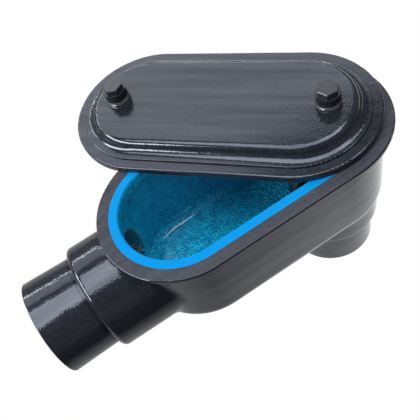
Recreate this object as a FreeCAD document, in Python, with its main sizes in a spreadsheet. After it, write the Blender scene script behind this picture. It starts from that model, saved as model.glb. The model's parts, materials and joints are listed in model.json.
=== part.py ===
import FreeCAD, Part
import math
import os
import Sketcher

# A cast-iron conduit body with a PVC jacket, lying open with its cover across the rim.
# Frame: +Z out of the cover opening, +X from the end hub towards the back hub, origin on the
# end hub's axis, where its thread begins. Millimetres.

doc = FreeCAD.newDocument("conduit_body")
sheet = doc.addObject("Spreadsheet::Sheet", "dims")

SIZES = [
    # body casting
    ("half_straight", 23.85, "half the straight length of every outline that follows the rim"),
    ("wall_radius", 21.2, "outside of the iron wall, and of the bare rim ring"),
    ("cavity_radius", 19.1, "inside of the iron wall, below the rim lip"),
    ("opening_radius", 18.2, "mouth of the box, inside the rim lip"),
    ("rim_height", 19.5, "rim face above the end hub's axis"),
    ("lip_thickness", 3.6, "height of the inward lip that the cover clamps hook under"),
    ("lip_edge", 0.5, "rounding of the lip's upper inner edge"),
    ("bottom_margin", 0.2, "underside of the iron below the end hub's lowest line"),
    ("floor_thickness", 2.2, "iron under the floor of the box"),
    ("bottom_round", 6.5, "rounding of the iron's lower outer edge"),
    ("floor_round", 4.5, "rounding between the cavity's wall and floor"),
    ("hub_radius", 16.8, "outside of an iron hub"),
    ("hub_length", 13.55, "end hub, from the start of its thread to the end wall"),
    ("hub_corner", 0.8, "rounding of an iron hub's outer corner"),
    ("hub_blend", 2.4, "iron fillet between the end hub and the wall"),
    ("back_drop", 29.6, "start of the back hub's thread below the end hub's axis"),
    ("back_inset", 0.3, "back hub's side inside the end wall"),
    ("thread_radius", 12.6, "bore of a hub, at the middle of its thread"),
    ("thread_lead", 0.8, "bevel between a hub's face and the start of its thread"),
    ("mouth_round", 1.4, "rounding where a bore opens into the box"),
    ("facing", 8.0, "iron that is machined off above the rim"),
    # jacket
    ("coat", 1.0, "thickness of the jacket over the iron"),
    ("jacket_blend", 4.6, "jacket fillet between the end hub and the wall"),
    ("jacket_corner", 1.8, "rounding of the jacket at a hub's outer corner"),
    ("face_land", 0.5, "least flat left on the jacket's hub face, outside the groove"),
    ("brim_radius", 25.2, "outer edge of the jacket's flat brim round the rim"),
    ("brim_thickness", 1.6, "height of the brim"),
    ("brim_edge", 0.5, "rounding of the brim's outer edges"),
    ("sleeve_length", 16.4, "sleeve beyond the jacket's hub face"),
    ("sleeve_bore", 14.4, "inside of a sleeve, for a jacketed conduit"),
    ("sleeve_root", 15.4, "outside of a sleeve next to its hub"),
    ("sleeve_end", 15.9, "outside of a sleeve at its free end"),
    ("sleeve_edge", 0.4, "rounding of the sleeve's free end"),
    ("groove_radius", 14.95, "bottom of the groove between hub and sleeve"),
    ("groove_width", 1.0, "width of that groove"),
    # cover
    ("cover_straight", 25.2, "half the straight length of the cover's outlines"),
    ("cover_radius", 25.05, "outer edge of the cover"),
    ("cover_sheet", 2.2, "thickness of the jacketed cover"),
    ("cover_edge", 0.6, "rounding of the cover's outer edge"),
    ("step_radius", 21.8, "edge of the low step inside the cover's margin"),
    ("step_height", 0.6, "height of that step"),
    ("dome_radius", 18.9, "foot of the raised panel"),
    ("dome_height", 6.1, "top of the raised panel above the cover's underside"),
    ("dome_draft", 20.0, "slope of the raised panel's side, from upright, in degrees"),
    ("dome_foot", 2.6, "rounding at the foot of the raised panel"),
    ("dome_top", 2.2, "rounding at the top of the raised panel"),
    ("cover_x", 4.9, "cover's centre along X from the centre of the opening"),
    ("cover_y", 21.0, "cover's centre along Y from the centre of the opening"),
    ("cover_turn", -44.2, "cover turned about Z from the body, in degrees"),
    # cover screws
    ("screw_reach", 34.4, "a screw's axis from the cover's centre"),
    ("screw_radius", 2.08, "screw shank"),
    ("screw_drop", 16.0, "shank below the top of the raised panel"),
    ("screw_tip", 0.5, "bevel of the shank's end"),
    ("head_flats", 4.0, "steel head inside the cap, across its flats"),
    ("head_height", 2.0, "height of the steel head"),
    ("running_gap", 0.05, "radial clearance of whatever turns or slides on a shank"),
    ("washer_radius", 3.9, "washer under the cap"),
    ("washer_height", 1.0, "thickness of that washer"),
    ("washer_edge", 0.4, "rounding of that washer's upper edge"),
    ("skirt_radius", 4.05, "plain rim round the foot of the cap"),
    ("skirt_height", 0.6, "height of that rim"),
    ("skirt_edge", 0.25, "rounding of that rim"),
    ("collar_radius", 3.7, "ribbed collar of the cap"),
    ("collar_height", 2.6, "height of the ribbed collar"),
    ("rib_groove", 0.26, "radius of the grooves between the collar's ribs"),
    ("rib_count", 24, "grooves round the collar"),
    ("hex_flats", 5.8, "hexagon of the cap, across its flats"),
    ("hex_height", 2.0, "height of the hexagon"),
    ("hex_edge", 0.15, "bevel round the hexagon's top"),
    ("left_hex_turn", 11.6, "left screw turned from the cover's length, in degrees"),
    ("right_hex_turn", 34.8, "right screw turned from the cover's length, in degrees"),
    ("retainer_radius", 3.6, "washer that keeps the screw in the cover"),
    ("retainer_height", 1.0, "thickness of that washer"),
    ("clamp_width", 9.0, "width of a clamp nut"),
    ("clamp_tail", 4.2, "clamp nut behind the screw"),
    ("clamp_nose", 8.9, "clamp nut in front of the screw, to hook under the lip"),
    ("clamp_height", 3.2, "thickness of a clamp nut"),
    ("clamp_drop", 5.4, "top of a loosened clamp nut below the rim face"),
    ("clamp_slope", 1.4, "bevel on the upper edge of the clamp nut's nose"),
    ("clamp_corner", 1.2, "rounding of the clamp nut's corners"),
]

for row, (alias, value, note) in enumerate(SIZES, start=1):
    sheet.set(f"A{row}", alias)
    sheet.set(f"B{row}", str(value))
    sheet.set(f"C{row}", note)
    sheet.setAlias(f"B{row}", alias)
doc.recompute()


def at(expression):
    """A sheet expression, such as dims.coat * 2, as a number."""
    return float(sheet.evalExpression(expression))


# Places that follow from the sizes
CENTRE_X = "(dims.hub_length + dims.wall_radius + dims.half_straight)"
ARC_X = "(dims.hub_length + dims.wall_radius)"
BACK_X = (f"({CENTRE_X} + dims.half_straight + dims.wall_radius"
          " - dims.hub_radius - dims.back_inset)")
BOTTOM_Z = "(-dims.hub_radius - dims.bottom_margin)"
FLOOR_Z = f"({BOTTOM_Z} + dims.floor_thickness)"
BACK_FACE = "(dims.back_drop + dims.thread_lead)"
LIP_Z = "(dims.rim_height - dims.lip_thickness)"
COVER_X = f"({CENTRE_X} + dims.cover_x)"
TURN = "(dims.cover_turn * 1 deg)"
DOME_UNDER = "(dims.dome_height - dims.cover_sheet)"
SHANK_HOLE = "(dims.screw_radius + dims.running_gap)"
JACKET_CORNER = ("min(dims.jacket_corner; dims.hub_radius + dims.coat"
                 " - dims.groove_radius - dims.face_land)")


# ---------------------------------------------------------------- building blocks
def new_body(name):
    body = doc.addObject("PartDesign::Body", name)
    body.Label = name
    return body


def datum(body, role):
    """One of a body's own planes or axes."""
    return next(item for item in body.Origin.OriginFeatures if item.Role == role)


def sketch_on(body, name, role="XY_Plane", x="0", y="0", lift="0", spin=0):
    """An empty sketch on one of the body's own planes, moved in that plane and lifted off it."""
    sketch = body.newObject("Sketcher::SketchObject", name)
    sketch.AttachmentSupport = [(datum(body, role), "")]
    sketch.MapMode = "FlatFace"
    turn = FreeCAD.Rotation(FreeCAD.Vector(0, 0, 1), spin)
    sketch.AttachmentOffset = FreeCAD.Placement(FreeCAD.Vector(at(x), at(y), at(lift)), turn)
    for axis, value in (("x", x), ("y", y), ("z", lift)):
        sketch.setExpression(f"AttachmentOffset.Base.{axis}", value)
    return sketch


def bind(sketch, constraint, name, expression):
    """Adds a dimension to a sketch and ties it to the sheet."""
    index = sketch.addConstraint(constraint)
    sketch.renameConstraint(index, name)
    sketch.setExpression(f"Constraints.{name}", expression)


def slot_sketch(body, name, straight, radius, **place):
    """A slot outline along X: two half circles joined by straight sides."""
    sketch = sketch_on(body, name, **place)
    half, reach = at(straight), at(radius)
    up = FreeCAD.Vector(0, 0, 1)
    quarter = math.pi / 2
    right = Part.Circle(FreeCAD.Vector(half, 0, 0), up, reach)
    left = Part.Circle(FreeCAD.Vector(-half, 0, 0), up, reach)
    sketch.addGeometry([
        Part.LineSegment(FreeCAD.Vector(-half, reach, 0), FreeCAD.Vector(half, reach, 0)),
        Part.ArcOfCircle(right, -quarter, quarter),
        Part.LineSegment(FreeCAD.Vector(half, -reach, 0), FreeCAD.Vector(-half, -reach, 0)),
        Part.ArcOfCircle(left, quarter, 3 * quarter),
    ], False)
    sketch.addConstraint([
        Sketcher.Constraint("Tangent", 0, 2, 1, 2),
        Sketcher.Constraint("Tangent", 1, 1, 2, 1),
        Sketcher.Constraint("Tangent", 2, 2, 3, 2),
        Sketcher.Constraint("Tangent", 3, 1, 0, 1),
        Sketcher.Constraint("Horizontal", 0),
        Sketcher.Constraint("Symmetric", 1, 3, 3, 3, -1, 1),
    ])
    bind(sketch, Sketcher.Constraint("Radius", 1, reach), "radius", radius)
    bind(sketch, Sketcher.Constraint("DistanceX", 3, 3, 1, 3, 2 * half), "straight",
         f"2 * {straight}")
    return sketch


def circle_sketch(body, name, radius, centre_x="0", **place):
    sketch = sketch_on(body, name, **place)
    middle = FreeCAD.Vector(at(centre_x), 0, 0)
    sketch.addGeometry(Part.Circle(middle, FreeCAD.Vector(0, 0, 1), at(radius)), False)
    bind(sketch, Sketcher.Constraint("Radius", 0, at(radius)), "radius", radius)
    if centre_x == "0":
        sketch.addConstraint(Sketcher.Constraint("Coincident", 0, 3, -1, 1))
    else:
        sketch.addConstraint(Sketcher.Constraint("PointOnObject", 0, 3, -1))
        bind(sketch, Sketcher.Constraint("DistanceX", -1, 1, 0, 3, at(centre_x)), "centre_x",
             centre_x)
    return sketch


def outline_sketch(body, name, corners, **place):
    """A closed outline of straight edges, each corner held by two sheet expressions."""
    sketch = sketch_on(body, name, **place)
    points = [FreeCAD.Vector(at(x), at(y), 0) for x, y in corners]
    count = len(points)
    for index in range(count):
        sketch.addGeometry(Part.LineSegment(points[index], points[(index + 1) % count]), False)
    for index in range(count):
        following = (index + 1) % count
        sketch.addConstraint(Sketcher.Constraint("Coincident", index, 2, following, 1))
    for index, (x, y) in enumerate(corners):
        for kind, letter, value in (("DistanceX", "x", x), ("DistanceY", "y", y)):
            bind(sketch, Sketcher.Constraint(kind, -1, 1, index, 1, at(value)),
                 f"{letter}{index}", value)
    return sketch


def extrude(body, kind, sketch, length, backwards=False, middle=False, draft=None):
    """A pad, or a pocket, of a sketch."""
    feature = body.newObject(f"PartDesign::{kind}", f"{sketch.Name}_{kind.lower()}")
    feature.Profile = sketch
    feature.setExpression("Length", length)
    feature.Reversed = backwards
    feature.Midplane = middle
    if draft:
        feature.setExpression("TaperAngle", draft)
    doc.recompute()
    return feature


def pad(body, sketch, length, **options):
    return extrude(body, "Pad", sketch, length, **options)


def pocket(body, sketch, length, **options):
    before = body.Shape.Volume
    feature = extrude(body, "Pocket", sketch, length, **options)
    if body.Shape.Volume > before - 0.001:
        raise RuntimeError(f"{feature.Name} cuts nothing")
    return feature


def revolve(body, sketch):
    """A full turn of a sketch about its own horizontal axis."""
    feature = body.newObject("PartDesign::Revolution", f"{sketch.Name}_turned")
    feature.Profile = sketch
    feature.ReferenceAxis = (sketch, ["H_Axis"])
    feature.Angle = 360
    doc.recompute()
    return feature


def dress(body, kind, name, size_property, size, test):
    """A fillet or chamfer on each edge of the body whose sample points all pass the test."""
    base = body.Tip
    picked = []
    for index, edge in enumerate(base.Shape.Edges, start=1):
        first, last = edge.ParameterRange
        samples = [edge.valueAt(first + (last - first) * part / 8) for part in range(9)]
        if all(test(point) for point in samples):
            picked.append(f"Edge{index}")
    if not picked:
        raise RuntimeError(f"no edge for {name}")
    feature = body.newObject(f"PartDesign::{kind}", name)
    feature.Base = (base, picked)
    feature.setExpression(size_property, size)
    doc.recompute()
    return feature


def fillet(body, name, radius, test):
    return dress(body, "Fillet", name, "Radius", radius, test)


def chamfer(body, name, width, test):
    return dress(body, "Chamfer", name, "Size", width, test)


def near(value, target, tolerance=0.02):
    return abs(value - target) < tolerance


def on_end_axis(radius):
    """Test for points at this distance from the end hub's axis."""
    return lambda p: near((p.y ** 2 + p.z ** 2) ** 0.5, at(radius))


def on_back_axis(radius):
    """Test for points at this distance from the back hub's axis."""
    return lambda p: near(((p.x - at(BACK_X)) ** 2 + p.y ** 2) ** 0.5, at(radius))


def slot_distance(point, straight, centre_x=0.0):
    """Distance of a point, seen from above, from the middle line of a slot."""
    beyond = max(abs(point.x - centre_x) - straight, 0.0)
    return (beyond ** 2 + point.y ** 2) ** 0.5


# ---------------------------------------------------------------- body
def outer_form(name, grow, blend, corner):
    """The solid outer form of the body: box, end hub and back hub, swollen by grow."""
    body = new_body(name)
    bottom = f"{BOTTOM_Z} - {grow}"
    hub = f"(dims.hub_radius + {grow})"
    wall = f"(dims.wall_radius + {grow})"

    box = slot_sketch(body, f"{name}_box", "dims.half_straight", wall,
                      x=CENTRE_X, lift="dims.rim_height + dims.facing")
    pad(body, box, f"dims.rim_height + dims.facing - ({bottom})", backwards=True)
    fillet(body, f"{name}_bottom_round", f"dims.bottom_round + {grow}",
           lambda p: near(p.z, at(bottom)))

    end_face = f"-dims.thread_lead - {grow}"
    end_hub = circle_sketch(body, f"{name}_end_hub", hub, role="YZ_Plane", lift=end_face)
    pad(body, end_hub, f"{ARC_X} - ({end_face})")
    fillet(body, f"{name}_hub_blend", blend,
           lambda p: on_end_axis(hub)(p) and p.x > at("dims.hub_length / 2"))

    back_face = f"-{BACK_FACE} - {grow}"
    back_hub = circle_sketch(body, f"{name}_back_hub", hub, x=BACK_X, lift=back_face)
    pad(body, back_hub, f"-({back_face})")
    fillet(body, f"{name}_corners", corner,
           lambda p: (near(p.x, at(end_face)) and on_end_axis(hub)(p))
           or (near(p.z, at(back_face)) and on_back_axis(hub)(p)))

    top = slot_sketch(body, f"{name}_top", "dims.half_straight", f"{wall} + dims.facing",
                      x=CENTRE_X, lift="dims.rim_height")
    pocket(body, top, "dims.facing * 2", backwards=True)
    return body


def make_casting():
    """The iron: one wall with an inward lip, a floor, and two threaded hubs."""
    body = outer_form("body_casting", "0", "dims.hub_blend", "dims.hub_corner")

    mouth = slot_sketch(body, "mouth", "dims.half_straight", "dims.opening_radius",
                        x=CENTRE_X, lift="dims.rim_height")
    pocket(body, mouth, "dims.lip_thickness + dims.lip_edge")
    chamber = slot_sketch(body, "chamber", "dims.half_straight", "dims.cavity_radius",
                          x=CENTRE_X, lift=LIP_Z)
    pocket(body, chamber, f"{LIP_Z} - {FLOOR_Z}")
    fillet(body, "floor_fillet", "dims.floor_round", lambda p: near(p.z, at(FLOOR_Z)))

    end_bore = circle_sketch(body, "end_bore", "dims.thread_radius", role="YZ_Plane",
                             lift="-dims.thread_lead")
    pocket(body, end_bore, f"{ARC_X} + dims.thread_lead", backwards=True)
    back_bore = circle_sketch(body, "back_bore", "dims.thread_radius",
                              x=BACK_X, lift=f"-{BACK_FACE}")
    pocket(body, back_bore, BACK_FACE, backwards=True)

    bore = "dims.thread_radius"
    fillet(body, "end_mouth_round", "dims.mouth_round",
           lambda p: on_end_axis(bore)(p) and p.x > at("dims.hub_length / 2"))
    fillet(body, "back_mouth_round", "dims.mouth_round",
           lambda p: on_back_axis(bore)(p) and p.z > at("-dims.back_drop + dims.thread_lead"))
    chamfer(body, "thread_leads", "dims.thread_lead",
            lambda p: (near(p.x, at("-dims.thread_lead")) and on_end_axis(bore)(p))
            or (near(p.z, at(f"-{BACK_FACE}")) and on_back_axis(bore)(p)))
    fillet(body, "lip_round", "dims.lip_edge",
           lambda p: near(p.z, at("dims.rim_height"))
           and near(slot_distance(p, at("dims.half_straight"), at(CENTRE_X)),
                    at("dims.opening_radius")))
    return body


def add_sleeve(body, name, **place):
    """A soft sleeve beyond a hub, turned about its axis, with a groove at its root."""
    profile = outline_sketch(body, name, [
        ("0", "dims.sleeve_bore"),
        ("0", "dims.groove_radius"),
        ("dims.groove_width", "dims.groove_radius"),
        ("dims.groove_width", "dims.sleeve_root"),
        ("dims.sleeve_length", "dims.sleeve_end"),
        ("dims.sleeve_length", "dims.sleeve_bore"),
    ], role="XZ_Plane", **place)
    revolve(body, profile)


def at_sleeve_end(point):
    """Whether a point lies on the free end of either sleeve."""
    reach = at("dims.coat + dims.sleeve_length")
    return near(point.x, at("-dims.thread_lead") - reach) or near(point.z, -at(BACK_FACE) - reach)


def make_jacket():
    """The jacket: a skin over the iron, a flat brim round the rim, and two sleeves."""
    body = outer_form("jacket_form", "dims.coat", "dims.jacket_blend", JACKET_CORNER)

    brim = slot_sketch(body, "brim", "dims.half_straight", "dims.brim_radius",
                       x=CENTRE_X, lift="dims.rim_height")
    pad(body, brim, "dims.brim_thickness", backwards=True)
    fillet(body, "brim_round", "dims.brim_edge",
           lambda p: near(slot_distance(p, at("dims.half_straight"), at(CENTRE_X)),
                          at("dims.brim_radius"))
           and (near(p.z, at("dims.rim_height"))
                or near(p.z, at("dims.rim_height - dims.brim_thickness"))))

    end_face = "-dims.thread_lead - dims.coat"
    back_face = f"-{BACK_FACE} - dims.coat"
    face_hole = circle_sketch(body, "end_face_hole", "dims.sleeve_bore",
                              role="YZ_Plane", lift=end_face)
    pocket(body, face_hole, "2 * dims.coat", backwards=True)
    face_hole = circle_sketch(body, "back_face_hole", "dims.sleeve_bore",
                              x=BACK_X, lift=back_face)
    pocket(body, face_hole, "2 * dims.coat", backwards=True)
    add_sleeve(body, "end_sleeve", x=end_face, spin=180)
    add_sleeve(body, "back_sleeve", x=BACK_X, y=back_face, spin=-90)
    fillet(body, "sleeve_ends", "dims.sleeve_edge", at_sleeve_end)

    iron = outer_form("iron_space", "0", "dims.hub_blend", "dims.hub_corner")
    jacket = doc.addObject("Part::Cut", "body_jacket")
    jacket.Base = body
    jacket.Tool = iron
    jacket.Label = "body_jacket"
    doc.recompute()
    return jacket


# ---------------------------------------------------------------- cover and its screws
def lay_on_cover(item, along="0", height="0", extra_turn="0"):
    """Places an object by the cover: along its length from its middle, above its underside."""
    item.Placement.Rotation = FreeCAD.Rotation(FreeCAD.Vector(0, 0, 1), 10)
    item.setExpression("Placement.Base.x", f"{COVER_X} + cos({TURN}) * ({along})")
    item.setExpression("Placement.Base.y", f"dims.cover_y + sin({TURN}) * ({along})")
    item.setExpression("Placement.Base.z", f"dims.rim_height + {height}")
    item.setExpression("Placement.Rotation.Angle", f"{TURN} + ({extra_turn}) * 1 deg")


def make_cover():
    """The cover: a flat margin, a low step and a raised panel, hollow below."""
    body = new_body("cover")
    margin = slot_sketch(body, "margin", "dims.cover_straight", "dims.cover_radius")
    pad(body, margin, "dims.cover_sheet")
    fillet(body, "margin_round", "dims.cover_edge", lambda p: near(p.z, at("dims.cover_sheet")))
    step = slot_sketch(body, "step", "dims.cover_straight", "dims.step_radius",
                       lift="dims.cover_sheet")
    pad(body, step, "dims.step_height")
    fillet(body, "step_round", "dims.step_height / 2",
           lambda p: near(p.z, at("dims.cover_sheet + dims.step_height")))
    dome = slot_sketch(body, "dome", "dims.cover_straight", "dims.dome_radius",
                       lift="dims.cover_sheet + dims.step_height")
    pad(body, dome, "dims.dome_height - dims.cover_sheet - dims.step_height",
        draft="-dims.dome_draft")
    fillet(body, "dome_top_round", "dims.dome_top", lambda p: near(p.z, at("dims.dome_height")))
    fillet(body, "dome_foot_round", "dims.dome_foot",
           lambda p: near(p.z, at("dims.cover_sheet + dims.step_height"))
           and near(slot_distance(p, at("dims.cover_straight")), at("dims.dome_radius")))

    hollow = slot_sketch(body, "hollow", "dims.cover_straight",
                         "dims.dome_radius - dims.cover_sheet")
    pocket(body, hollow, DOME_UNDER, backwards=True, draft="-dims.dome_draft")
    fillet(body, "hollow_round", "dims.dome_top / 2", lambda p: near(p.z, at(DOME_UNDER)))
    for side, sign in (("left", "-"), ("right", "")):
        hole = circle_sketch(body, f"{side}_hole", SHANK_HOLE, x=f"{sign}dims.screw_reach")
        pocket(body, hole, "dims.dome_height", backwards=True)
    lay_on_cover(body)
    return body


def ring(name, outer, height, edge=None):
    """A washer with a running fit on a shank, and a rounded upper edge if one is given."""
    body = new_body(name)
    pad(body, circle_sketch(body, f"{name}_rim", outer), height)
    if edge:
        fillet(body, f"{name}_edge", edge, lambda p: near(p.z, at(height)))
    pocket(body, circle_sketch(body, f"{name}_hole", SHANK_HOLE), height, backwards=True)
    return body


def add_prism(body, name, kind, flats, height, lift):
    """A hexagonal prism, or a hexagonal recess, given by its width across flats."""
    prism = body.newObject(f"PartDesign::{kind}", name)
    prism.Polygon = 6
    prism.setExpression("Circumradius", f"{flats} / sqrt(3)")
    prism.setExpression("Height", height)
    prism.AttachmentSupport = [(datum(body, "XY_Plane"), "")]
    prism.MapMode = "FlatFace"
    prism.setExpression("AttachmentOffset.Base.z", lift)
    doc.recompute()
    return prism


def make_screw(name):
    """The steel screw: a hexagonal head that the cap is moulded over, and its shank."""
    body = new_body(name)
    shank = circle_sketch(body, f"{name}_shank", "dims.screw_radius",
                          lift="-dims.screw_drop")
    pad(body, shank, "dims.screw_drop + dims.washer_height + dims.skirt_height")
    chamfer(body, f"{name}_tip", "dims.screw_tip",
            lambda p: near(p.z, at("-dims.screw_drop")))
    add_prism(body, f"{name}_head", "AdditivePrism", "dims.head_flats", "dims.head_height",
              "dims.washer_height + dims.skirt_height")
    return body


def make_cap(name):
    """The moulded cap of a screw: a rim, a ribbed collar and a hexagon."""
    body = new_body(name)
    foot = "dims.washer_height"
    collar_foot = f"{foot} + dims.skirt_height"
    hex_foot = f"{collar_foot} + dims.collar_height"
    pad(body, circle_sketch(body, f"{name}_skirt", "dims.skirt_radius", lift=foot),
        "dims.skirt_height")
    fillet(body, f"{name}_skirt_round", "dims.skirt_edge", lambda p: True)
    pad(body, circle_sketch(body, f"{name}_collar", "dims.collar_radius", lift=collar_foot),
        "dims.collar_height")

    notch = circle_sketch(body, f"{name}_notch", "dims.rib_groove", x="dims.collar_radius",
                          lift=collar_foot)
    cut = pocket(body, notch, "dims.collar_height", backwards=True)
    ribs = body.newObject("PartDesign::PolarPattern", f"{name}_ribs")
    ribs.Originals = [cut]
    ribs.Axis = (datum(body, "Z_Axis"), [""])
    ribs.Angle = 360
    ribs.setExpression("Occurrences", "dims.rib_count")
    body.Tip = ribs
    doc.recompute()

    add_prism(body, f"{name}_hex", "AdditivePrism", "dims.hex_flats", "dims.hex_height",
              hex_foot)
    chamfer(body, f"{name}_bevel", "dims.hex_edge",
            lambda p: near(p.z, at(f"{hex_foot} + dims.hex_height")))
    pocket(body, circle_sketch(body, f"{name}_shank_hole", "dims.screw_radius", lift=foot),
           "dims.skirt_height", backwards=True)
    add_prism(body, f"{name}_head_space", "SubtractivePrism", "dims.head_flats",
              "dims.head_height", collar_foot)
    return body


def make_clamp(name):
    """The clamp nut: a plate on the screw's thread whose nose hooks under the rim's lip."""
    body = new_body(name)
    side = outline_sketch(body, f"{name}_side", [
        ("-dims.clamp_tail", "0"),
        ("dims.clamp_nose - dims.clamp_slope", "0"),
        ("dims.clamp_nose", "-dims.clamp_slope"),
        ("dims.clamp_nose", "-dims.clamp_height"),
        ("-dims.clamp_tail", "-dims.clamp_height"),
    ], role="XZ_Plane")
    pad(body, side, "dims.clamp_width", middle=True)
    fillet(body, f"{name}_corners", "dims.clamp_corner",
           lambda p: near(abs(p.y), at("dims.clamp_width / 2"))
           and (near(p.x, at("dims.clamp_nose")) or near(p.x, at("-dims.clamp_tail"))))
    pocket(body, circle_sketch(body, f"{name}_hole", SHANK_HOLE), "dims.clamp_height")
    return body


def make_parts():
    parts = [make_casting(), make_jacket(), make_cover()]
    for side, sign, turn in (("left", "-", "180"), ("right", "", "0")):
        along = f"{sign}dims.screw_reach"
        screw = make_screw(f"screw_{side}")
        cap = make_cap(f"screw_cap_{side}")
        washer = ring(f"washer_{side}", "dims.washer_radius", "dims.washer_height",
                      "dims.washer_edge")
        for part in (screw, cap, washer):
            lay_on_cover(part, along, "dims.dome_height", f"dims.{side}_hex_turn")
        retainer = ring(f"retainer_{side}", "dims.retainer_radius", "dims.retainer_height")
        lay_on_cover(retainer, along, f"{DOME_UNDER} - dims.retainer_height", turn)
        clamp = make_clamp(f"clamp_nut_{side}")
        lay_on_cover(clamp, along, "-dims.clamp_drop", turn)
        parts += [screw, cap, washer, retainer, clamp]
    doc.recompute()
    return parts


parts = make_parts()
for item in doc.Objects:
    if "Invalid" in item.State or "Error" in item.State:
        raise RuntimeError(f"{item.Name} failed: {item.State}")
for part in parts:
    if part.Shape.isNull() or not part.Shape.isValid() or len(part.Shape.Solids) != 1:
        raise RuntimeError(f"{part.Label} is not one valid solid")

os.makedirs("parts", exist_ok=True)
for part in parts:
    part.Shape.exportStep(f"parts/{part.Label}.step")
    box = part.Shape.BoundBox
    print(f"{part.Label}: {len(part.Shape.Solids)} solid, {part.Shape.Volume:.1f} mm3, "
          f"x {box.XMin:.2f}..{box.XMax:.2f} y {box.YMin:.2f}..{box.YMax:.2f} "
          f"z {box.ZMin:.2f}..{box.ZMax:.2f}")
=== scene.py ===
import json
import math

import bmesh
import bpy
from mathutils import Matrix, Vector


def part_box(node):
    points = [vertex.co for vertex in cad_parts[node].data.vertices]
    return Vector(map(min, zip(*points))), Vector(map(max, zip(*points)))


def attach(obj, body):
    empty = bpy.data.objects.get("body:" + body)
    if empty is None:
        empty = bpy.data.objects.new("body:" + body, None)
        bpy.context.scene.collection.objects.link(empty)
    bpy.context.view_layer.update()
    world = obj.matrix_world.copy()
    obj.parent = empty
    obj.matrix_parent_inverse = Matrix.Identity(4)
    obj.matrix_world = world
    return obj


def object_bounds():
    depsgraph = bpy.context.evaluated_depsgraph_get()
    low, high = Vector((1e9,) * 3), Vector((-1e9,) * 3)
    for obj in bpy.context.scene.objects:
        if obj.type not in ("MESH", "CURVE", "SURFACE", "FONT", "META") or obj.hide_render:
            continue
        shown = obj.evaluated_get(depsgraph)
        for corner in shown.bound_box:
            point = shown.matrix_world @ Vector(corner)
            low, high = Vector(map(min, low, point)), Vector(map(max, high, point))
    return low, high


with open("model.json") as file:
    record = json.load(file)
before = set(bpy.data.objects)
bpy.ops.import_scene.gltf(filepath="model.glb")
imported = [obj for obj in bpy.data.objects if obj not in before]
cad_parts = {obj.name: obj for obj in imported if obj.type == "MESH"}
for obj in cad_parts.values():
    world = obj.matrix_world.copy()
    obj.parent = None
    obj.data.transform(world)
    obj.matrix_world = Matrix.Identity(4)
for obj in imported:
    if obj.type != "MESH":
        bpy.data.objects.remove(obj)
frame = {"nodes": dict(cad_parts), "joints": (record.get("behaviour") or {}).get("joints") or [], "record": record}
cad_low, cad_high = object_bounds()

MM = 0.001
TAU = 2 * math.pi

# ---------------------------------------------------------------- places, from the frame
mounts = {mount["name"]: mount for mount in frame["record"]["mounts"]}
END_HUB = mounts["end_hub"]
BACK_HUB = mounts["back_hub"]
BACK_SLEEVE = mounts["back_sleeve"]
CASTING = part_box("body_casting")
RIM_Z = CASTING[1].z
AXES = {joint["child"]: Vector(joint["pos_m"]) for joint in frame["joints"]}
COVER_LENGTH = AXES["screw_right"] - AXES["screw_left"]

# ---------------------------------------------------------------- sizes that are only looks
SCREW_PITCH = 0.794 * MM
SCREW_THREAD_DEPTH = 0.25 * MM
SHANK_RADIUS = 2.08 * MM
HUB_PITCH = 1.814 * MM
HUB_THREAD_DEPTH = 0.6 * MM
HUB_THREAD_LENGTH = 13.0 * MM
THREAD_GAP = 0.1 * MM
# one turn of a thread's ridge: (rise in pitches, reach in depths), where CREST marks its top
CREST = "crest"
THREAD_PROFILE = ((0.03, -0.1), (0.44, CREST), (0.56, CREST), (0.97, -0.1))

BORE_SHADE_END_X = 20.5 * MM
STREAK_STRETCH = 14.0
FLOOR_GAP = 0.2 * MM

# ---------------------------------------------------------------- colours
GLOSS_PLASTIC = [(0.35, (0.006, 0.007, 0.010)), (0.65, (0.011, 0.012, 0.017))]
DULL_PLASTIC = [(0.35, (0.009, 0.0095, 0.013)), (0.65, (0.017, 0.018, 0.024))]
PLASTIC_SHINE = (0.76, 0.84, 1.0, 1.0)
ROUGH_LINING = [(0.3, (0.0, 0.21, 0.44)), (0.7, (0.0, 0.50, 0.79))]
CUT_LINING = (0.0, 0.15, 0.375, 1.0)
# painted shade: the dark colour given to the lining inside the end hub's bore
BORE_PAINTED_SHADE = (0.0, 0.08, 0.14, 1.0)
SKY = (0.93, 0.97, 1.0, 1.0)

# ---------------------------------------------------------------- camera and lights
VIEW_AZIMUTH, VIEW_ELEVATION, VIEW_ROLL = map(math.radians, (-10.72, 55.36, -23.77))
VIEW_TARGET = Vector((CASTING[1].x - 61.88 * MM, -8.4 * MM, RIM_Z))
VIEW_DISTANCE = 158.3 * MM
VIEW_LENS = 47.14
# name, azimuth and elevation in degrees, distance, width and height in metres, radiance
SOFTBOXES = (
    ("window overhead", 0, 88, 0.9, 1.1, 0.66, 5.0),
    ("far window", 180, 45, 1.4, 2.6, 0.52, 1.8),
    ("lower strip", 180, 30, 1.4, 2.4, 0.035, 26.0),
    ("left window", -98, 32, 1.0, 0.9, 0.3, 16.0),
)
SKY_LIGHT, SKY_SEEN = 0.25, 1.1
FLOOR_SEEN = 1.0


# ---------------------------------------------------------------- node helpers
def new_material(name, shader_kind="ShaderNodeBsdfPrincipled"):
    """An empty material with one shader; returns both."""
    material = bpy.data.materials.new(name)
    material.use_nodes = True
    nodes = material.node_tree.nodes
    nodes.clear()
    output = nodes.new("ShaderNodeOutputMaterial")
    shader = nodes.new(shader_kind)
    join(material, shader.outputs[0], output.inputs["Surface"])
    return material, shader


def join(owner, source, target):
    owner.node_tree.links.new(source, target)


def feed(owner, source, target):
    """Links a socket, or writes a plain value."""
    if isinstance(source, bpy.types.NodeSocket):
        join(owner, source, target)
    else:
        target.default_value = source


def place(material):
    """The object's own coordinates, which are those of the frame."""
    return material.node_tree.nodes.new("ShaderNodeTexCoord").outputs["Object"]


def split_place(material):
    """The object's own coordinates, one by one."""
    node = material.node_tree.nodes.new("ShaderNodeSeparateXYZ")
    join(material, place(material), node.inputs["Vector"])
    return node.outputs


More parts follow.
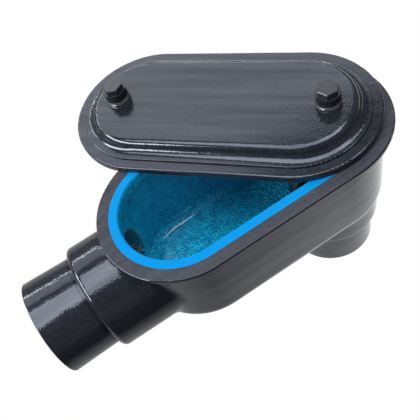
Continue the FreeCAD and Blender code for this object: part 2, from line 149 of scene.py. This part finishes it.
def noise(material, scale, detail=2.0, roughness=0.5, where=None):
    node = material.node_tree.nodes.new("ShaderNodeTexNoise")
    node.inputs["Scale"].default_value = scale
    node.inputs["Detail"].default_value = detail
    node.inputs["Roughness"].default_value = roughness
    join(material, where or place(material), node.inputs["Vector"])
    return node.outputs["Fac"]


def remap(material, value, low, high, to_low, to_high):
    node = material.node_tree.nodes.new("ShaderNodeMapRange")
    node.inputs["From Min"].default_value = low
    node.inputs["From Max"].default_value = high
    node.inputs["To Min"].default_value = to_low
    node.inputs["To Max"].default_value = to_high
    join(material, value, node.inputs["Value"])
    return node.outputs["Result"]


def combine(material, operation, first, second):
    """Two numbers put together, as by MULTIPLY or MAXIMUM."""
    node = material.node_tree.nodes.new("ShaderNodeMath")
    node.operation = operation
    feed(material, first, node.inputs[0])
    feed(material, second, node.inputs[1])
    return node.outputs[0]


def measure(material, operation, vector, point=(0.0, 0.0, 0.0)):
    """The LENGTH of a vector, or its DISTANCE from a point."""
    node = material.node_tree.nodes.new("ShaderNodeVectorMath")
    node.operation = operation
    node.inputs[1].default_value = point
    join(material, vector, node.inputs[0])
    return node.outputs["Value"]


def tint(material, value, stops):
    """Colours along a ramp, as (position, (r, g, b)) pairs."""
    node = material.node_tree.nodes.new("ShaderNodeValToRGB")
    ramp = node.color_ramp
    while len(ramp.elements) < len(stops):
        ramp.elements.new(1.0)
    for element, (position, colour) in zip(ramp.elements, stops):
        element.position = position
        element.color = (*colour, 1.0)
    join(material, value, node.inputs["Fac"])
    return node.outputs["Color"]


def blend(owner, factor, first, second, kind="RGBA"):
    """The first colour or number where the factor is 0 and the second where it is 1."""
    node = owner.node_tree.nodes.new("ShaderNodeMix")
    node.data_type = kind
    join(owner, factor, node.inputs["Factor"])
    feed(owner, first, node.inputs["A"])
    feed(owner, second, node.inputs["B"])
    return node.outputs["Result"]


def by_ray(owner, to_mirrors, to_camera):
    """One number for what the camera sees and another for light and reflections."""
    ray = owner.node_tree.nodes.new("ShaderNodeLightPath")
    return blend(owner, ray.outputs["Is Camera Ray"], to_mirrors, to_camera, "FLOAT")


def bump(material, shader, height, depth, strength=1.0, below=None):
    """Adds relief; the height runs from 0 to 1 and depth is in metres."""
    node = material.node_tree.nodes.new("ShaderNodeBump")
    node.inputs["Strength"].default_value = strength
    node.inputs["Distance"].default_value = depth
    join(material, height, node.inputs["Height"])
    if below:
        join(material, below, node.inputs["Normal"])
    join(material, node.outputs["Normal"], shader.inputs["Normal"])
    return node.outputs["Normal"]


# ---------------------------------------------------------------- materials
def lengthwise_noise(material, length_angle):
    """Noise drawn out along a direction that is turned about +Z from +X."""
    node = material.node_tree.nodes.new("ShaderNodeMapping")
    node.vector_type = "TEXTURE"
    node.inputs["Rotation"].default_value = (0.0, 0.0, length_angle)
    node.inputs["Scale"].default_value = (STREAK_STRETCH, 1.0, 1.0)
    join(material, place(material), node.inputs["Vector"])
    return noise(material, 300, 3.0, where=node.outputs["Vector"])


def jacket_material(name, length_angle, matte_above=1.0):
    """Dark glossy plastic, streaked along its length and matte above some height."""
    material, shader = new_material(name)
    height = split_place(material)["Z"]
    matte = remap(material, height, matte_above - 0.1 * MM, matte_above, 0.0, 1.0)
    gloss = tint(material, noise(material, 900), GLOSS_PLASTIC)
    dull = tint(material, noise(material, 1100), DULL_PLASTIC)
    join(material, blend(material, matte, gloss, dull), shader.inputs["Base Color"])
    worn = remap(material, noise(material, 60, 3.0), 0.3, 0.7, 0.09, 0.16)
    flat = remap(material, matte, 0.0, 1.0, 0.0, 0.55)
    join(material, combine(material, "MAXIMUM", worn, flat), shader.inputs["Roughness"])
    streaks = lengthwise_noise(material, length_angle)
    shine = combine(material, "MULTIPLY", remap(material, matte, 0.0, 1.0, 0.62, 0.42),
                    remap(material, streaks, 0.3, 0.7, 0.72, 1.28))
    join(material, shine, shader.inputs["Specular IOR Level"])
    shader.inputs["Specular Tint"].default_value = PLASTIC_SHINE
    ripple = bump(material, shader, noise(material, 110), 0.09 * MM, 0.5)
    drawn = bump(material, shader, streaks, 0.05 * MM, 0.4, below=ripple)
    bump(material, shader, noise(material, 1600), 0.045 * MM, 0.7, below=drawn)
    return material


def end_bore_painted_shade_mask(material, along):
    """1 on the wall of the end hub's bore and 0 elsewhere: where painted shade darkens the lining."""
    flat = material.node_tree.nodes.new("ShaderNodeMapping")
    flat.inputs["Scale"].default_value = (0.0, 1.0, 1.0)
    join(material, place(material), flat.inputs["Vector"])
    reach = measure(material, "LENGTH", flat.outputs["Vector"])
    bore = END_HUB["dims"]["r_mm"] * MM
    near_axis = remap(material, reach, bore + 0.2 * MM, bore + 0.8 * MM, 1.0, 0.0)
    near_end = remap(material, along, BORE_SHADE_END_X - 1.0 * MM, BORE_SHADE_END_X, 1.0, 0.0)
    return combine(material, "MULTIPLY", near_axis, near_end)


def lining_material():
    """Blue lining: flat and bright on the cut rim, deep and grained on the rough inside, with painted shade
    darkening the end hub's bore.
    """
    material, shader = new_material("blue lining")
    along, _, up = split_place(material)
    rim = remap(material, up, RIM_Z - 1.0 * MM, RIM_Z - 0.2 * MM, 0.0, 1.0)
    rough = tint(material, noise(material, 420, 4.0, 0.6), ROUGH_LINING)
    # painted shade: the lining turns dark inside the end hub's bore, near its mouth
    inside = blend(material, end_bore_painted_shade_mask(material, along), rough, BORE_PAINTED_SHADE)
    join(material, blend(material, rim, inside, CUT_LINING), shader.inputs["Base Color"])
    shader.inputs["Roughness"].default_value = 0.3
    join(material, remap(material, rim, 0.0, 1.0, 0.5, 0.05),
         shader.inputs["Specular IOR Level"])
    join(material, remap(material, rim, 0.0, 1.0, 1.0, 0.0), shader.inputs["Coat Weight"])
    shader.inputs["Coat Roughness"].default_value = 0.06
    grain = material.node_tree.nodes.new("ShaderNodeTexVoronoi")
    grain.inputs["Scale"].default_value = 1250
    join(material, place(material), grain.inputs["Vector"])
    relief = combine(material, "MULTIPLY", grain.outputs["Distance"],
                     remap(material, rim, 0.0, 1.0, 1.0, 0.05))
    lumps = bump(material, shader, noise(material, 260, 3.0), 0.25 * MM, 0.5)
    bump(material, shader, relief, 0.85 * MM, 1.0, below=lumps)
    return material


def plain_material(name, colour, metallic, roughness, grain_scale, grain_depth):
    """One colour with faint specks and a fine grain."""
    material, shader = new_material(name)
    speck = noise(material, grain_scale, 3.0)
    darker = tuple(0.8 * part for part in colour)
    join(material, tint(material, speck, [(0.3, darker), (0.7, colour)]),
         shader.inputs["Base Color"])
    shader.inputs["Metallic"].default_value = metallic
    shader.inputs["Roughness"].default_value = roughness
    bump(material, shader, speck, grain_depth, 0.5)
    return material


JACKET = jacket_material("dark jacket", 0.0, RIM_Z)
COVER = jacket_material("cover jacket", math.atan2(COVER_LENGTH.y, COVER_LENGTH.x))
LINING = lining_material()
CAP = plain_material("cap plastic", (0.016, 0.018, 0.023), 0.0, 0.25, 1400, 0.03 * MM)
STEEL = plain_material("plain steel", (0.55, 0.55, 0.57), 1.0, 0.3, 900, 0.01 * MM)
WASHER = plain_material("bright washer", (0.62, 0.62, 0.64), 1.0, 0.22, 900, 0.01 * MM)
DARK_STEEL = plain_material("blackened steel", (0.05, 0.055, 0.06), 0.6, 0.4, 900, 0.02 * MM)


# ---------------------------------------------------------------- pieces
def dress(node, material, smooth_angle=40):
    """Shows a CAD node with this material and smooth curved faces."""
    piece = frame["nodes"][node]
    piece.data.materials.clear()
    piece.data.materials.append(material)
    bpy.ops.object.select_all(action="DESELECT")
    piece.select_set(True)
    bpy.context.view_layer.objects.active = piece
    bpy.ops.object.shade_smooth_by_angle(angle=math.radians(smooth_angle))
    weighted = piece.modifiers.new("weighted normals", "WEIGHTED_NORMAL")
    weighted.keep_sharp = True
    weighted.weight = 100


def thread_piece(name, radius, depth, pitch, length, material, steps=48):
    """A helical ridge round +Z from z = 0; it stands out, or inward if the depth is negative."""
    mesh = bmesh.new()
    count = int(steps * (length / pitch - 1))
    rows = []
    for index in range(count + 1):
        angle = TAU * index / steps
        fade = min(1.0, index / steps, (count - index) / steps)
        row = []
        for rise, reach in THREAD_PROFILE:
            r = radius + depth * (fade if reach == CREST else reach)
            z = pitch * (index / steps + rise)
            row.append(mesh.verts.new((r * math.cos(angle), r * math.sin(angle), z)))
        rows.append(row)
    sides = len(THREAD_PROFILE)
    for first, second in zip(rows, rows[1:]):
        for near in range(sides):
            far = (near + 1) % sides
            mesh.faces.new((first[near], first[far], second[far], second[near]))
    mesh.faces.new(rows[0])
    mesh.faces.new(rows[-1][::-1])
    bmesh.ops.recalc_face_normals(mesh, faces=mesh.faces)
    data = bpy.data.meshes.new(name)
    mesh.to_mesh(data)
    mesh.free()
    data.materials.append(material)
    piece = bpy.data.objects.new(name, data)
    bpy.context.scene.collection.objects.link(piece)
    return piece


def lay_thread(piece, start, axis, body):
    """Puts a thread's foot at a place, running along an axis, and ties it to its body."""
    turn = Vector(axis).to_track_quat("Z", "Y").to_matrix().to_4x4()
    piece.matrix_world = Matrix.Translation(Vector(start)) @ turn
    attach(piece, body)


def add_hub_thread(name, hub):
    """The pipe thread in a hub's bore, from its open end inward."""
    thread = thread_piece(name, hub["dims"]["r_mm"] * MM, -HUB_THREAD_DEPTH, HUB_PITCH,
                          HUB_THREAD_LENGTH, STEEL)
    lay_thread(thread, hub["pos_m"], -Vector(hub["axis"]), "body")


def add_screw_thread(side):
    """The thread on a screw's shank, between its clamp nut and its retainer."""
    screw = f"screw_{side}"
    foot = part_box(f"clamp_nut_{side}")[1].z + THREAD_GAP
    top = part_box(f"retainer_{side}")[0].z - THREAD_GAP
    thread = thread_piece(f"{screw}_thread", SHANK_RADIUS, SCREW_THREAD_DEPTH, SCREW_PITCH,
                          top - foot, STEEL, 32)
    lay_thread(thread, (AXES[screw].x, AXES[screw].y, foot), (0, 0, 1), screw)


dress("body_casting", LINING)
dress("body_jacket", JACKET)
dress("cover", COVER)
for side in ("left", "right"):
    for kind, material in (("screw", STEEL), ("screw_cap", CAP), ("washer", WASHER),
                           ("retainer", STEEL), ("clamp_nut", DARK_STEEL)):
        dress(f"{kind}_{side}", material, 30)

add_hub_thread("end_hub_thread", END_HUB)
add_hub_thread("back_hub_thread", BACK_HUB)
for side in ("left", "right"):
    add_screw_thread(side)


# ---------------------------------------------------------------- stage, lights and camera
def floor_glow(material):
    """How bright the floor is to what mirrors it: dark far in front, with a painted shadow inside the sleeve."""
    x, y, _ = split_place(material)
    across = remap(material, y, -85 * MM, -45 * MM, 0.18, 1.2)
    along = remap(material, x, -60 * MM, 5 * MM, 0.45, 1.0)
    # painted shadow: the floor's glow is cut off inside the standing sleeve's circle
    sleeve = BACK_SLEEVE["dims"]["r_mm"] * MM
    beyond_painted_sleeve_shadow = remap(material, measure(material, "DISTANCE", place(material)),
                    sleeve, sleeve + 1.5 * MM, 0.0, 1.0)
    return combine(material, "MULTIPLY", combine(material, "MULTIPLY", across, along), beyond_painted_sleeve_shadow)


def floor_material():
    """Plain white to the camera from above, and clear from below."""
    material, sides = new_material("white floor", "ShaderNodeMixShader")
    nodes = material.node_tree.nodes
    emission = nodes.new("ShaderNodeEmission")
    join(material, by_ray(material, floor_glow(material), FLOOR_SEEN),
         emission.inputs["Strength"])
    join(material, nodes.new("ShaderNodeNewGeometry").outputs["Backfacing"],
         sides.inputs["Fac"])
    join(material, emission.outputs["Emission"], sides.inputs[1])
    join(material, nodes.new("ShaderNodeBsdfTransparent").outputs["BSDF"], sides.inputs[2])
    return material


def make_floor():
    """A wide plane just below the standing sleeve, with its middle under the sleeve's axis."""
    spot = (BACK_SLEEVE["pos_m"][0], 0.0, cad_low.z - FLOOR_GAP)
    bpy.ops.mesh.primitive_plane_add(size=6.0, location=spot)
    floor = bpy.context.object
    floor.name = "floor"
    floor.data.materials.append(floor_material())


def direction(azimuth, elevation):
    """From the object to a viewer, in radians; azimuth 0 is the -Y side."""
    return Vector((math.sin(azimuth) * math.cos(elevation),
                   -math.cos(azimuth) * math.cos(elevation), math.sin(elevation)))


def softbox(name, azimuth, elevation, distance, width, height, radiance):
    """A soft rectangular light that looks at the object from that side."""
    light = bpy.data.lights.new(name, "AREA")
    light.shape = "RECTANGLE"
    light.size = width
    light.size_y = height
    light.energy = radiance * math.pi * width * height
    lamp = bpy.data.objects.new(name, light)
    bpy.context.scene.collection.objects.link(lamp)
    back = direction(math.radians(azimuth), math.radians(elevation))
    lamp.location = (cad_low + cad_high) / 2 + back * distance
    lamp.rotation_mode = "QUATERNION"
    lamp.rotation_quaternion = (-back).to_track_quat("-Z", "Y")


def make_world():
    """A pale sky that gives little light and looks white to the camera."""
    world = bpy.data.worlds.new("world")
    bpy.context.scene.world = world
    world.use_nodes = True
    background = world.node_tree.nodes["Background"]
    background.inputs["Color"].default_value = SKY
    join(world, by_ray(world, SKY_LIGHT, SKY_SEEN), background.inputs["Strength"])


def make_camera():
    """Looks down into the box from beside the end hub, rolled so that the hub dips to the left."""
    back = direction(VIEW_AZIMUTH, VIEW_ELEVATION)
    level = Vector((math.cos(VIEW_AZIMUTH), math.sin(VIEW_AZIMUTH), 0.0))
    upward = back.cross(level)
    right = level * math.cos(VIEW_ROLL) + upward * math.sin(VIEW_ROLL)
    top = upward * math.cos(VIEW_ROLL) - level * math.sin(VIEW_ROLL)
    data = bpy.data.cameras.new("camera")
    data.lens = VIEW_LENS
    data.clip_start, data.clip_end = 0.005, 20.0
    camera = bpy.data.objects.new("camera", data)
    bpy.context.scene.collection.objects.link(camera)
    turn = Matrix((right, top, back)).transposed().to_4x4()
    camera.matrix_world = Matrix.Translation(VIEW_TARGET + back * VIEW_DISTANCE) @ turn
    bpy.context.scene.camera = camera


make_floor()
for box in SOFTBOXES:
    softbox(*box)
make_world()
make_camera()
bpy.context.scene.view_settings.view_transform = "Standard"
